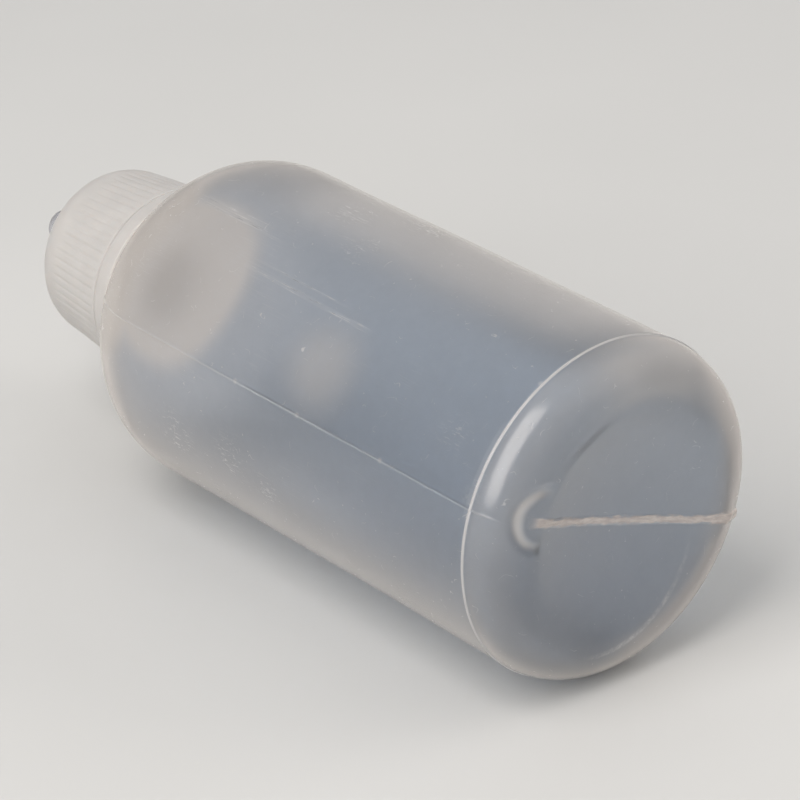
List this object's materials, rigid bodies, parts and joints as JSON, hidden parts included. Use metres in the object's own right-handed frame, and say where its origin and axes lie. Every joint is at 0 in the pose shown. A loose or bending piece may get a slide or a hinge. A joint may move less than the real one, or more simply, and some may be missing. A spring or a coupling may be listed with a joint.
{
  "type": "glue applicator bottle",
  "caption": "Soft translucent squeeze bottle with rounded shoulder and heel, ribbed screw cap with a rounded top, and a fine outlet under a small domed closure.",
  "frame": {"origin": "centre of the resting plane under the base, on the bottle's axis", "axes": "+Z along the axis from base to tip; the mould parting lines and the weld across the base lie in the X-Z plane"},
  "size_m": [0.0364, 0.0364, 0.094],
  "materials": {
    "soft_bottle_plastic": "natural translucent soft plastic, satin with fine scuffs",
    "white_cap_plastic": "satin white, fine vertical ribs",
    "washer_foam": "soft white closed-cell foam",
    "nozzle_plastic": "natural milky plastic",
    "tube_steel": "drawn stainless tube",
    "closure_plastic": "clear bluish soft plastic"
  },
  "bodies": {
    "bottle": {"bottle_body": "soft_bottle_plastic"},
    "nozzle": {"nozzle_insert": "nozzle_plastic", "seal_washer": "washer_foam", "outlet_tube": "tube_steel"},
    "cap": {"screw_cap": "white_cap_plastic"},
    "tip": {"tip_closure": "closure_plastic"}
  },
  "joints": [
    {"name": "cap_lift", "type": "slide", "parent": "bottle", "child": "nozzle", "axis": [0, 0, 1], "range_m": [0, 0.0127]},
    {"name": "cap_turn", "type": "hinge", "parent": "nozzle", "child": "cap", "pos_m": [0, 0, 0.078], "axis": [0, 0, 1], "range_deg": [0, 1440]},
    {"name": "tip_pull", "type": "slide", "parent": "nozzle", "child": "tip", "axis": [0, 0, 1], "range_m": [0, 0.012]}
  ],
  "couplings": [
    {"joint": "cap_lift", "follows": "cap_turn", "m_per_rad": 0.00050532}
  ]
}
